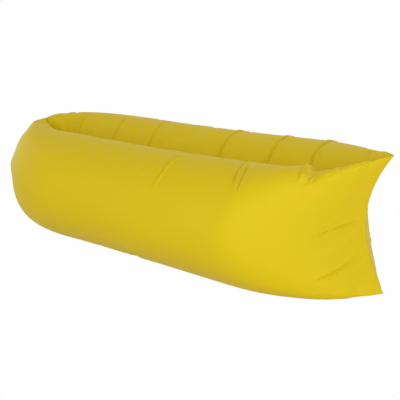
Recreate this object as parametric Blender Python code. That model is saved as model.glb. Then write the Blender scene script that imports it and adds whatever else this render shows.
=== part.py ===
# Air lounger: two cloth tubes blown up side by side and joined along the middle. One end is sewn
# to an upright seam, and at the other the mouth is rolled up, bent round to a loop and clipped.
# +X points to the sewn end, +Y to the far tube, +Z up, and the tubes stand on z = 0.
import math

import bmesh
import bpy
from mathutils import Vector

# Shared clearances and limits
touch_gap = 0.0003
cut_overrun = 0.002

# Each tube, blown up
tube_length = 1.709
tube_width = 0.436
tube_height = 0.446
width_taper_share = 0.08
height_taper_share = 0.15
height_bow_share = 0.049
sides = 20
cloth_wall = 0.0006
centre_gap = 0.001
contact_press = 0.0125

# Sewn end: a wedge whose upright seam is drawn in between two tips
wedge_length_low = 0.496
wedge_length_top = 0.400
wedge_power_low = 2.88
wedge_power_top = 1.57
tip_rise = 0.025
tip_rise_length = 0.353
tip_rise_power = 1.26
tip_sink = -0.003
seam_hollow = 0.090
seam_hollow_reach_share = 1.85
seam_hollow_power = 1.5
seam_width = 0.003

# Mouth end: a blunt crown that gathers to a flat upright neck
crown_length = 0.500
crown_power = 2.69
crown_height_length = 0.369
crown_height_power = 2.64
neck_height = 0.330
neck_centre_height = 0.2295
neck_half_width = 0.004
neck_length = 0.012
neck_squareness = 6.4
neck_squareness_power = 12
neck_recess_gap = 0.003
neck_end_height = 0.220

# Creases: share of the tube's length from the tips, start and end angle, share of the depth
crease_depth = 0.010
crease_half_width = 0.035
near_crease_shares = (
    (0.135, 40, 150, 1.5),
    (0.211, 95, 165, 0.6),
    (0.264, 45, 130, 1.0),
    (0.325, 95, 165, 0.8),
    (0.448, 30, 165, 1.0),
    (0.677, 80, 165, 1.0),
    (0.796, 80, 165, 1.0),
    (0.915, 90, 160, 0.5),
)
far_crease_shares = (
    (0.135, 95, 160, 0.5),
    (0.211, 70, 165, 1.0),
    (0.325, 75, 165, 1.0),
    (0.448, 75, 165, 1.2),
    (0.562, 80, 165, 0.5),
    (0.677, 80, 165, 1.0),
    (0.796, 80, 165, 1.0),
    (0.915, 90, 160, 0.6),
)
crease_place_shares = (0.135, 0.211, 0.264, 0.325, 0.448, 0.562, 0.677, 0.796, 0.915)
flanked_crease_shares = (0.211, 0.325, 0.448, 0.677, 0.796)
wedge_ring_shares = (0.0, 0.05, 0.11, 0.19, 0.28, 0.38)
crown_ring_shares = (0.187, 0.111, 0.045, 0.013, 0.0)

# Film liner inside each tube
liner_wall = 0.0004
liner_gap = 0.006
liner_rim_gap = 0.0010
liner_rim_share = 0.111
liner_setback = 0.110
liner_fold_drop = 0.030
liner_fold_width = 0.030

# Join tape between the tubes, and the tape in the sewn end's seam
tape_thickness = 0.0004
join_tape_height = 0.060
join_tape_end = 0.150
join_tape_steps = 16
seam_tape_width = 0.012

# Rolled mouth: a spiral of cloth round a flexible strip, bent to an upright loop
mouth_width = 0.600
roll_turns = 3
roll_sides = 9
roll_core_radius = 0.009
hem_thickness = 0.0016
hem_spacing = 0.0012
bend_radius = 0.060
bend_steps = 8
loop_centre_height = 0.167
strip_width = 0.0160
strip_thickness = 0.0012

# Webbing tabs and buckle
webbing_width = 0.025
webbing_thickness = 0.0016
webbing_slack = 0.0005
socket_tab_free = 0.0135
plug_tab_free = 0.046
tack_height = 0.004
tack_width = 0.020
tack_thickness = 0.0004
tack_offset = 0.0015
buckle_width = 0.033
buckle_thickness = 0.010
buckle_wall = 0.0015
buckle_side_wall = 0.0013
bar_height = 0.0032
bar_thickness = 0.0032
slot_height = 0.0045
socket_cavity_depth = 0.026
socket_floor = 0.002
socket_frame_height = 0.009
socket_window_height = 0.013
plug_base_height = 0.006
tongue_width = 0.007
tongue_length = 0.020
tongue_tip_width = 0.004
prong_root_offset = 0.0095
prong_thickness = 0.003
prong_length = 0.024
prong_pad_reach = 0.0163
prong_arm_reach = 0.0128
prong_shoulder_gap = 0.0005
prong_pad_length = 0.008
edge_round = 0.0008
bend_sides = 6

# Places worked out from the sizes
roll_pitch = hem_thickness + hem_spacing
roll_radius = roll_core_radius + roll_turns * roll_pitch + hem_thickness
overall_length = tube_length + neck_length + touch_gap + 2 * roll_radius + 2 * bend_radius
tip_x = overall_length / 2
neck_x = tip_x - tube_length
front_leg_x = neck_x - neck_length - touch_gap - roll_radius
back_leg_x = front_leg_x - 2 * bend_radius
socket_height = socket_cavity_depth + socket_floor + slot_height + bar_height
plug_height = plug_base_height + slot_height + bar_height
clasp_height = socket_tab_free + socket_height + touch_gap + plug_height + plug_tab_free
front_leg_height = (mouth_width - 2 * math.pi * bend_radius + clasp_height) / 2
front_leg_top = loop_centre_height + front_leg_height / 2
front_leg_low = loop_centre_height - front_leg_height / 2
arm_low_end = loop_centre_height - clasp_height / 2
arm_top_end = loop_centre_height + clasp_height / 2
socket_low = arm_low_end + socket_tab_free
socket_top = socket_low + socket_height
plug_low = socket_top + touch_gap
plug_top = plug_low + plug_height
side_step = 2 * math.pi / sides

cloth_yellow = (0.66, 0.46, 0.012)
film_grey = (0.80, 0.82, 0.83)
thread_yellow = (0.60, 0.42, 0.02)
buckle_black = (0.018, 0.018, 0.020)
webbing_black = (0.022, 0.022, 0.024)
strip_white = (0.75, 0.75, 0.73)


def clear_scene():
    for old in list(bpy.data.objects):
        bpy.data.objects.remove(old, do_unlink=True)


def plain_material(name, colour, roughness):
    material = bpy.data.materials.new(name)
    material.use_nodes = True
    shader = material.node_tree.nodes["Principled BSDF"]
    shader.inputs["Base Color"].default_value = (*colour, 1.0)
    shader.inputs["Roughness"].default_value = roughness
    shader.inputs["Metallic"].default_value = 0.0
    return material


def add_object(name, shape, colour, roughness, origin=Vector()):
    """Turns a bmesh in world places into an object whose origin is the given point."""
    for vertex in shape.verts:
        vertex.co -= origin
    mesh = bpy.data.meshes.new(name)
    shape.to_mesh(mesh)
    shape.free()
    made = bpy.data.objects.new(name, mesh)
    made.location = origin
    made.data.materials.append(plain_material(name, colour, roughness))
    bpy.context.scene.collection.objects.link(made)
    return made


def clamp_share(value):
    return min(max(value, 0.0), 1.0)


def rounded_rise(share, power):
    """Rises from 0 to 1 like the quarter of a superellipse."""
    return (1 - (1 - clamp_share(share)) ** power) ** (1 / power)


def mix(low, high, share):
    return low + (high - low) * share


def tube_height_at(from_tip):
    """Height and middle height of a tube's section, at a distance from the tips."""
    along = clamp_share(from_tip / tube_length)
    bow = height_bow_share * (4 * along * (1 - along) - 0.5)
    plain = tube_height * (1 - height_taper_share * (along - 0.5) - bow)
    rise = (1 - clamp_share(from_tip / tip_rise_length)) ** tip_rise_power
    crown = rounded_rise((tube_length - from_tip) / crown_height_length, crown_height_power)
    height = mix(neck_height, plain + tip_rise * rise, crown)
    middle = plain / 2 + (tip_rise / 2 - tip_sink) * rise
    return height, mix(neck_centre_height, middle, crown)


def neck_recess(height):
    """How far the loop's outer bend has drawn back from the neck at a height."""
    outer_radius = bend_radius + roll_radius
    past_leg = max(height - front_leg_top, front_leg_low - height, 0.0)
    recess = outer_radius - math.sqrt(outer_radius ** 2 - past_leg ** 2)
    return max(recess - neck_recess_gap, 0.0)


def crease_dent(from_tip, angle, creases):
    dent = 0.0
    for place_share, start, end, depth_share in creases:
        near = clamp_share(1 - abs(from_tip - place_share * tube_length) / crease_half_width)
        across = clamp_share((math.degrees(angle) - start) / (end - start))
        dent += crease_depth * depth_share * near * math.sin(math.pi * across) ** 2
    return dent


def tube_point(from_tip, angle, side, creases):
    """A point of a tube's skin. Angle 0 faces away from the other tube and 90 degrees is up."""
    flat = math.cos(side_step / 2)
    across = math.cos(angle) / flat
    rise = math.sin(angle) / flat
    level = (math.sin(angle) + 1) / 2
    level = level * level * (3 - 2 * level)
    wedge_length = mix(wedge_length_low, wedge_length_top, level)
    wedge_power = mix(wedge_power_low, wedge_power_top, level)
    wedge = 1 - (1 - clamp_share(from_tip / wedge_length)) ** wedge_power
    crown = rounded_rise((tube_length - from_tip) / crown_length, crown_power)
    taper = 1 - width_taper_share * (clamp_share(from_tip / tube_length) - 0.5)
    half_width = tube_width / 2 * taper * wedge * crown
    if from_tip > tube_length / 2:
        half_width = max(half_width, neck_half_width)
    height, middle = tube_height_at(from_tip)
    dent = crease_dent(from_tip, angle, creases)
    press = contact_press * min(wedge, crown)
    square = 1 + (neck_squareness - 1) * (1 - crown) ** neck_squareness_power
    across = min(max(across * square, -1.0), 1.0)
    y = max(half_width - press + (half_width - dent) * across, centre_gap / 2)
    z = max(middle + (height / 2 - dent) * rise, 0.0)
    fade = (1 - clamp_share(from_tip / (seam_hollow_reach_share * wedge_length))) ** seam_hollow_power
    x = tip_x - from_tip - seam_hollow * (1 - rise * rise) * fade
    if from_tip == 0.0:
        y = centre_gap / 2 + (seam_width if across > 0 else 0.0)
    if from_tip > tube_length:
        z = loop_centre_height + neck_end_height / 2 * rise
        x = neck_x - neck_length - neck_recess(z)
    return Vector((x, side * y, z))


def skin_between(rings, side):
    """Quads between rings of points, open at the last ring and closed across the first one."""
    shape = bmesh.new()
    rows = [[shape.verts.new(point) for point in ring] for ring in rings]
    faces = []
    for row, next_row in zip(rows, rows[1:]):
        for place in range(sides):
            after = (place + 1) % sides
            faces.append([row[place], row[after], next_row[after], next_row[place]])
    top = sides // 4
    for step in range(sides // 2 - 1):
        left = (top - 1 - step) % sides
        right = top + step
        faces.append([rows[0][left], rows[0][left - 1], rows[0][right + 1], rows[0][right]])
    for corners in faces:
        if side > 0:
            corners.reverse()
        shape.faces.new(corners)
    bmesh.ops.triangulate(shape, faces=shape.faces, quad_method="FIXED")
    return shape


def shell_places():
    """Distances from the tips at which a tube's shell has a ring of points."""
    places = [wedge_length_low * share for share in wedge_ring_shares]
    places += [tube_length * share for share in crease_place_shares]
    for share in flanked_crease_shares:
        places += [tube_length * share - crease_half_width, tube_length * share + crease_half_width]
    places += [tube_length - crown_length * share for share in crown_ring_shares]
    return sorted(places) + [tube_length + neck_length]


def add_shell(name, side, creases):
    angles = [side_step * (place + 0.5) for place in range(sides)]
    rings = [[tube_point(place, angle, side, creases) for angle in angles] for place in shell_places()]
    shell = add_object(name, skin_between(rings, side), cloth_yellow, 0.55)
    shell.data.shade_smooth()
    add_wall(shell, cloth_wall)
    return shell


def add_liner(name, side, creases):
    """A film bag inside the shell. It is drawn in from the shell, and meets it at its open rim."""
    angles = [side_step * (place + 0.5) for place in range(sides)]
    rim = tube_length - crown_length * liner_rim_share
    places = [place for place in shell_places() if liner_setback < place < rim]
    rings = []
    for place in [liner_setback] + places + [rim]:
        ring = [tube_point(place, angle, side, creases) for angle in angles]
        gap = liner_rim_gap if place == rim else liner_gap
        rings.append(drawn_in(ring, cloth_wall + gap, folded=not rings))
    liner = add_object(name, skin_between(rings, side), film_grey, 0.35)
    liner.data.shade_smooth()
    add_wall(liner, liner_wall)
    return liner


def drawn_in(ring, inset, folded):
    """A ring made smaller by the inset about its middle, or also pressed to a thin upright fold."""
    sides_y = [point.y for point in ring]
    heights = [point.z for point in ring]
    middle_y = (min(sides_y) + max(sides_y)) / 2
    middle_z = (min(heights) + max(heights)) / 2
    width = max(sides_y) - min(sides_y)
    share_y = liner_fold_width / width if folded else 1 - 2 * inset / width
    share_z = 1 - 2 * (liner_fold_drop if folded else inset) / (max(heights) - min(heights))
    return [Vector((point.x, mix(middle_y, point.y, share_y), mix(middle_z, point.z, share_z)))
            for point in ring]


def add_wall(body, thickness):
    """Gives an open skin its wall on the inside."""
    wall = body.modifiers.new("wall", "SOLIDIFY")
    wall.thickness = thickness
    wall.offset = -1.0
    wall.use_quality_normals = True
    return wall


def prism(outline, thickness, axis):
    """A closed prism from an outline in two world axes, centred on the third."""
    shape = bmesh.new()
    ends = []
    for offset in (-thickness / 2, thickness / 2):
        ring = []
        for first, second in outline:
            point = [first, second]
            point.insert(axis, offset)
            ring.append(shape.verts.new(point))
        ends.append(ring)
    shape.faces.new(ends[0])
    shape.faces.new(ends[1])
    for place in range(len(outline)):
        after = (place + 1) % len(outline)
        shape.faces.new([ends[0][place], ends[0][after], ends[1][after], ends[1][place]])
    bmesh.ops.recalc_face_normals(shape, faces=shape.faces)
    return shape


def add_join_tape():
    """The band along the middle that both tubes are sewn to."""
    start = join_tape_end
    end = tube_length - crown_length * crown_ring_shares[0]
    places = [mix(start, end, step / join_tape_steps) for step in range(join_tape_steps + 1)]
    upper = []
    lower = []
    for place in places:
        middle = tube_height_at(place)[1]
        upper.append((tip_x - place - seam_hollow, middle + join_tape_height / 2))
        lower.append((tip_x - place - seam_hollow, middle - join_tape_height / 2))
    return add_object("centre_join_tape", prism(upper + lower[::-1], tape_thickness, 1), thread_yellow, 0.6)


def add_seam_tape():
    """The tape between the tubes' edges along the sewn end, flush with the seam."""
    angles = [side_step * (place + 0.5 - sides / 4) for place in range(sides // 2)]
    seam = [tube_point(0.0, angle, 1, ()) for angle in angles]
    edge = [(point.x, point.z) for point in seam]
    inner = [(x - seam_tape_width, z) for x, z in edge]
    return add_object("closed_end_seam_tape", prism(edge + inner[::-1], tape_thickness, 1),
                      thread_yellow, 0.6)


def loop_path():
    """Middle of the roll with its outward direction, from the upper arm's end to the lower one's."""
    stations = [(Vector((back_leg_x, 0, arm_top_end)), Vector((-1, 0, 0)))]
    centre_x = front_leg_x - bend_radius
    for centre_z, first in ((front_leg_top, 180), (front_leg_low, 0)):
        for step in range(bend_steps + 1):
            turn = math.radians(first - 180 * step / bend_steps)
            outward = Vector((math.cos(turn), 0, math.sin(turn)))
            stations.append((Vector((centre_x, 0, centre_z)) + outward * bend_radius, outward))
    stations.append((Vector((back_leg_x, 0, arm_low_end)), Vector((-1, 0, 0))))
    return stations


def sweep(outline, stations):
    """A closed bar whose outline, given outward and along Y, follows the stations."""
    shape = bmesh.new()
    rows = []
    for middle, outward in stations:
        rows.append([shape.verts.new(middle + outward * out + Vector((0, across, 0)))
                     for out, across in outline])
    count = len(outline)
    for row, next_row in zip(rows, rows[1:]):
        for place in range(count):
            after = (place + 1) % count
            shape.faces.new([row[place], row[after], next_row[after], next_row[place]])
    shape.faces.new(rows[0])
    shape.faces.new(rows[-1])
    bmesh.ops.recalc_face_normals(shape, faces=shape.faces)
    return shape


def spiral_outline():
    """The rolled cloth's section: its outer end faces outward, where the neck runs in."""
    outer = []
    inner = []
    steps = roll_turns * roll_sides
    for step in range(steps + 1):
        angle = 2 * math.pi * step / roll_sides
        radius = roll_core_radius + roll_pitch * step / roll_sides
        inner.append((radius * math.cos(angle), radius * math.sin(angle)))
        radius += hem_thickness
        outer.append((radius * math.cos(angle), radius * math.sin(angle)))
    return outer + inner[::-1]


def add_roll():
    roll = add_object("mouth_roll", sweep(spiral_outline(), loop_path()), cloth_yellow, 0.55)
    roll.data.shade_smooth()
    roll.data.set_sharp_from_angle(angle=math.radians(50))
    return roll


def add_strip():
    half_width = strip_width / 2
    half = strip_thickness / 2
    outline = [(half, half_width), (-half, half_width), (-half, -half_width), (half, -half_width)]
    return add_object("mouth_stiffener", sweep(outline, loop_path()), strip_white, 0.4)


def arc_points(centre, radius, first, last, steps):
    points = []
    for step in range(steps + 1):
        turn = math.radians(mix(first, last, step / steps))
        points.append((centre[0] + radius * math.cos(turn), centre[1] + radius * math.sin(turn)))
    return points


def add_tab(name, seam_height, bar_middle, up):
    """Webbing folded round a buckle's bar, its two ends sewn together at the roll."""
    eye = math.hypot(bar_thickness, bar_height) / 2 / math.cos(math.pi / 2 / bend_sides) + touch_gap
    outer = eye + webbing_thickness
    middle = back_leg_x
    tail_start = bar_middle - up * 2 * outer
    outline = [(middle - webbing_thickness, seam_height), (middle - webbing_thickness, tail_start)]
    outline += arc_points((middle, bar_middle), outer, 180, 180 - 180 * up, 2 * bend_sides)
    outline += [(middle + webbing_thickness, tail_start), (middle + webbing_thickness, seam_height)]
    tab = add_object(name, prism(outline, webbing_width, 1), webbing_black, 0.8)
    hole = arc_points((middle, bar_middle), eye, 0, 360, 2 * bend_sides)[:-1]
    cut_with(tab, prism(hole, webbing_width + cut_overrun, 1))
    return tab


def cut_with(body, cutter_shape):
    """Cuts a shape out of an object and keeps the cutter hidden."""
    mesh = bpy.data.meshes.new("cutter")
    cutter_shape.to_mesh(mesh)
    cutter_shape.free()
    cutter = bpy.data.objects.new("cutter", mesh)
    cutter.hide_render = True
    cutter.display_type = "WIRE"
    bpy.context.scene.collection.objects.link(cutter)
    cutter.parent = body.parent
    boolean = body.modifiers.new("cut", "BOOLEAN")
    boolean.object = cutter
    boolean.solver = "EXACT"
    return cutter


def box(low, high):
    """A closed box between two corners."""
    outline = [(low[0], low[1]), (high[0], low[1]), (high[0], high[1]), (low[0], high[1])]
    shape = prism(outline, high[2] - low[2], 2)
    for vertex in shape.verts:
        vertex.co.z += (low[2] + high[2]) / 2
    return shape


def centred_box(width_y, thickness_x, low_z, high_z, middle_y=0.0):
    low = (back_leg_x - thickness_x / 2, middle_y - width_y / 2, low_z)
    high = (back_leg_x + thickness_x / 2, middle_y + width_y / 2, high_z)
    return box(low, high)


def round_edges(body):
    bevel = body.modifiers.new("round", "BEVEL")
    bevel.width = edge_round
    bevel.segments = 2
    bevel.limit_method = "ANGLE"
    bevel.angle_limit = math.radians(40)
    return bevel


def bar_cuts(body, bar_low, slot_low):
    """Opens the webbing slot and thins the bar that the webbing folds round."""
    slot_width = webbing_width + 2 * webbing_slack
    deep = buckle_thickness + cut_overrun
    cut_with(body, centred_box(slot_width, deep, slot_low, slot_low + slot_height))
    relief = (buckle_thickness - bar_thickness) / 2 + cut_overrun
    for facing in (-1, 1):
        middle_x = back_leg_x + facing * (bar_thickness + relief) / 2
        low_z = min(bar_low - cut_overrun, slot_low)
        high_z = max(bar_low + bar_height + cut_overrun, slot_low + slot_height)
        cut_with(body, box((middle_x - relief / 2, -slot_width / 2, low_z),
                           (middle_x + relief / 2, slot_width / 2, high_z)))


def add_socket():
    """The sleeve with side windows that takes the plug from above."""
    shape = centred_box(buckle_width, buckle_thickness, socket_low, socket_top)
    socket = add_object("buckle_socket", shape, buckle_black, 0.45)
    round_edges(socket)
    inner_width = buckle_width - 2 * buckle_side_wall
    inner_thickness = buckle_thickness - 2 * buckle_wall
    cavity_low = socket_top - socket_cavity_depth
    cut_with(socket, centred_box(inner_width, inner_thickness, cavity_low, socket_top + cut_overrun))
    window_top = socket_top - socket_frame_height
    window = centred_box(buckle_width + cut_overrun, inner_thickness,
                         window_top - socket_window_height, window_top)
    cut_with(socket, window)
    bar_cuts(socket, socket_low, socket_low + bar_height)
    return socket


def add_plug():
    """The plug's base with its webbing bar, and the tongue that guides it into the socket."""
    base = centred_box(buckle_width, buckle_thickness, plug_low, plug_top)
    plug = add_object("buckle_plug", base, buckle_black, 0.45)
    round_edges(plug)
    bar_cuts(plug, plug_top - bar_height, plug_top - bar_height - slot_height)
    half_root = tongue_width / 2
    half_tip = tongue_tip_width / 2
    taper_height = plug_low - tongue_length / 2
    outline = [(half_root, plug_low + edge_round), (half_root, taper_height),
               (half_tip, plug_low - tongue_length), (-half_tip, plug_low - tongue_length),
               (-half_root, taper_height), (-half_root, plug_low + edge_round)]
    tongue_thickness = buckle_thickness - 2 * buckle_wall - 2 * touch_gap
    shape = prism(outline, tongue_thickness, 0)
    for vertex in shape.verts:
        vertex.co.x += back_leg_x
    mesh = bpy.data.meshes.new("tongue")
    shape.to_mesh(mesh)
    shape.free()
    tongue = bpy.data.objects.new("tongue", mesh)
    tongue.hide_render = True
    tongue.display_type = "WIRE"
    bpy.context.scene.collection.objects.link(tongue)
    union = plug.modifiers.new("tongue", "BOOLEAN")
    union.operation = "UNION"
    union.object = tongue
    union.solver = "EXACT"
    return plug


def add_prong(name, side):
    """A springy arm with a thumb pad that shows in the socket's window. It turns at its root."""
    root = plug_low - touch_gap
    shoulder = socket_top - socket_frame_height - prong_shoulder_gap
    pad_end = shoulder - prong_pad_length
    tip = plug_low - prong_length
    half = prong_thickness / 2
    arm_inner = prong_arm_reach - prong_thickness
    points = [(prong_root_offset + half, root), (prong_arm_reach, shoulder + prong_shoulder_gap),
              (prong_pad_reach, shoulder), (prong_pad_reach, pad_end), (prong_arm_reach, tip),
              (arm_inner, tip), (arm_inner, shoulder), (prong_root_offset - half, root)]
    thickness = buckle_thickness - 2 * buckle_wall - 2 * touch_gap
    shape = prism([(side * y, z) for y, z in points], thickness, 0)
    for vertex in shape.verts:
        vertex.co.x += back_leg_x
    pivot = Vector((back_leg_x, side * prong_root_offset, root))
    prong = add_object(name, shape, buckle_black, 0.45, pivot)
    bevel = round_edges(prong)
    bevel.segments = 1
    return prong


def add_tack(name, edge_height, up):
    """Dense stitching over a tab's outer face, close to the roll, as one pad of thread."""
    near_edge = edge_height + up * tack_offset
    far_edge = near_edge + up * tack_height
    near_x = back_leg_x - webbing_thickness - touch_gap
    low = (near_x - tack_thickness, -tack_width / 2, min(near_edge, far_edge))
    high = (near_x, tack_width / 2, max(near_edge, far_edge))
    return add_object(name, box(low, high), webbing_black, 0.9)


def build():
    clear_scene()
    for word, side, creases in (("near", -1, near_crease_shares), ("far", 1, far_crease_shares)):
        add_shell(word + "_tube_shell", side, creases)
        add_liner(word + "_air_liner", side, creases)
    add_join_tape()
    add_seam_tape()
    add_roll()
    add_strip()
    add_tab("socket_webbing_tab", arm_low_end + touch_gap, socket_low + bar_height / 2, 1)
    add_tab("plug_webbing_tab", arm_top_end - touch_gap, plug_top - bar_height / 2, -1)
    add_tack("socket_tab_bartack", arm_low_end + touch_gap, 1)
    add_tack("plug_tab_bartack", arm_top_end - touch_gap, -1)
    add_socket()
    add_plug()
    for word, side in (("near", -1), ("far", 1)):
        add_prong("buckle_prong_" + word, side)


build()
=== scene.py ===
# Air lounger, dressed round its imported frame: cloth tubes, gathered mouth, roll, tabs and buckle.
# +X points to the sewn end, -Y to the near tube, +Z up, in metres.
import math

import bmesh
import bpy
import numpy as np
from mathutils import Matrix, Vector


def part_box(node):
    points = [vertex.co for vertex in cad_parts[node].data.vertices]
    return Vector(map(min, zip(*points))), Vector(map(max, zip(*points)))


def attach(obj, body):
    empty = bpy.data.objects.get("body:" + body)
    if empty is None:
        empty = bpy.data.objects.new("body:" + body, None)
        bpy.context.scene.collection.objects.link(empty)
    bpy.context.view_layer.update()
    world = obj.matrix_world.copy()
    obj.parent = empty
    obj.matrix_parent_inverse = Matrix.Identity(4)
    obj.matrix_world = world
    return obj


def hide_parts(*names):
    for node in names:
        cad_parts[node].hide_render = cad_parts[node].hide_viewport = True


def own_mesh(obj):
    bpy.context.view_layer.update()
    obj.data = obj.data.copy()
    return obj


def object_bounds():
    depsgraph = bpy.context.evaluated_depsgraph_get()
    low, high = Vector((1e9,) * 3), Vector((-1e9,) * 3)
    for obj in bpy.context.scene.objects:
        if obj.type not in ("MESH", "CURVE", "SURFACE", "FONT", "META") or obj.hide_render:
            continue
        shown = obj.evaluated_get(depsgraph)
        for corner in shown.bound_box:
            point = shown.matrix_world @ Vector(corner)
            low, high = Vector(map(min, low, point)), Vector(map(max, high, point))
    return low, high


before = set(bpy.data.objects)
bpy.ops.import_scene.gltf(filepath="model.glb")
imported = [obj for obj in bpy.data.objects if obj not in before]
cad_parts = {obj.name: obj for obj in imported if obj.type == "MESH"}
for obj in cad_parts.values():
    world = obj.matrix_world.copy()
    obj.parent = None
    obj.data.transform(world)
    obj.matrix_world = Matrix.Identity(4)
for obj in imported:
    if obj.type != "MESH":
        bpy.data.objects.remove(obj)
cadBox = [list(corner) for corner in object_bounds()]
scene = bpy.context.scene

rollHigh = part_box("mouth_roll")[1]
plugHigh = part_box("buckle_plug")[1]
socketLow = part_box("buckle_socket")[0]
tipX = cadBox[1][0]

tube = {
    "length": 1.709, "width": 0.436, "height": 0.446,
    "widthTaper": 0.08, "heightTaper": 0.15, "heightBow": 0.049,
    "press": 0.0125, "contactSoftness": 0.002,
    "groundSink": 0.006, "groundPower": 6, "groundSoftness": 0.001,
    "wedgeLengthLow": 0.496, "wedgeLengthTop": 0.400, "wedgePowerLow": 2.88, "wedgePowerTop": 1.57,
    "tipRise": 0.025, "tipRiseLength": 0.353, "tipRisePower": 1.26, "tipSink": -0.003,
    "seamHollow": 0.090, "seamHollowReach": 1.85, "seamHollowPower": 1.5, "seamHalfWidth": 0.0007,
    "crownLength": 0.500, "crownPower": 2.69, "crownHeightLength": 0.369, "crownHeightPower": 2.64,
    "neckHeight": 0.342, "neckCentre": 0.2355, "neckHalfWidth": 0.0042,
    "neckLength": 0.012, "neckEndHeight": 0.220, "recessGap": 0.003,
    "neckFill": 0.07, "neckFillPower": 0.10, "neckFillEdge": 0.3,
    "rings": 456, "around": 216, "girth": 1.38,
}

# Gap for the tapes between the tubes, how far it reaches, and its share where the tubes touch
tapeRoom = {"gap": 0.0008, "join": 0.036, "joinFade": 0.008, "seam": 0.016, "seamFade": 0.006, "closed": 0.04}

# Where the near tube's rim breaks and then runs straight up to the tip
rimBreak = {"place": 0.254, "slant": 0.0015, "level": 85, "edge": 0.024, "drop": 0.028,
            "low": 42, "lowFade": 34, "high": 118, "highFade": 45}

loop = {
    "bendRadius": 0.060, "rollRadius": 0.019, "coreRadius": 0.009, "turns": 3,
    "hemThickness": 0.0016, "pitch": 0.0028, "centreHeight": 0.167,
    "frontLegTop": 0.25005, "frontLegLow": 0.08395, "armLow": 0.1124, "armTop": 0.2216,
    "stations": 190, "sectionSteps": 38,
}
loop["frontLegX"] = rollHigh.x - loop["rollRadius"]
loop["backLegX"] = loop["frontLegX"] - 2 * loop["bendRadius"]
neckX = tipX - tube["length"]


def mix(low, high, share):
    return low + (high - low) * share


def unit(value):
    return np.clip(value, 0.0, 1.0)


def smoothStep(value):
    value = unit(value)
    return value * value * (3 - 2 * value)


def roundedRise(share, power):  # from 0 to 1 like a quarter of a superellipse
    return (1 - (1 - unit(share)) ** power) ** (1 / power)


def softAbove(value, floor, softness):  # keeps a value above a floor, with a rounded bend
    over = value - floor
    return floor + 0.5 * (over + np.sqrt(over * over + softness * softness))


def runningTotal(steps):
    return np.concatenate([[0.0], np.cumsum(steps)])


def evenTurns(count):
    return 2 * math.pi * np.arange(count) / count


def drawn(random, settings, *words):  # one draw from each named range, in this order
    return [random.uniform(*settings[word]) for word in words]


def neckRecess(height):  # how far the loop's outer bend has drawn back at a height
    outer = loop["bendRadius"] + loop["rollRadius"]
    past = np.maximum(np.maximum(height - loop["frontLegTop"], loop["frontLegLow"] - height), 0.0)
    return np.maximum(outer - np.sqrt(outer ** 2 - past ** 2) - tube["recessGap"], 0.0)


def tubeSection(along):  # height and middle height of a tube's section
    share = unit(along / tube["length"])
    bow = tube["heightBow"] * (4 * share * (1 - share) - 0.5)
    plain = tube["height"] * (1 - tube["heightTaper"] * (share - 0.5) - bow)
    rise = (1 - unit(along / tube["tipRiseLength"])) ** tube["tipRisePower"]
    crown = roundedRise((tube["length"] - along) / tube["crownHeightLength"], tube["crownHeightPower"])
    height = mix(tube["neckHeight"], plain + tube["tipRise"] * rise, crown)
    middle = plain / 2 + (tube["tipRise"] / 2 - tube["tipSink"]) * rise
    return height, mix(tube["neckCentre"], middle, crown)


def contactGap(along, level):  # room for the tapes between the tubes, which touch elsewhere
    atJoin = 1 - smoothStep((np.abs(level) - tapeRoom["join"]) / tapeRoom["joinFade"])
    atSeam = 1 - smoothStep((along - tapeRoom["seam"]) / tapeRoom["seamFade"])
    return tapeRoom["gap"] * np.maximum(np.maximum(atJoin, atSeam), tapeRoom["closed"])


def rimDrop(along, angle):
    degrees = np.degrees(angle)
    place = rimBreak["place"] + rimBreak["slant"] * np.minimum(degrees - rimBreak["level"], 0)
    past = smoothStep((place - along) / rimBreak["edge"]) * unit(along / place)
    outside = smoothStep((degrees - rimBreak["low"]) / rimBreak["lowFade"])
    inside = 1 - smoothStep((degrees - rimBreak["high"]) / rimBreak["highFade"])
    return rimBreak["drop"] * past * (outside * inside)


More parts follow.
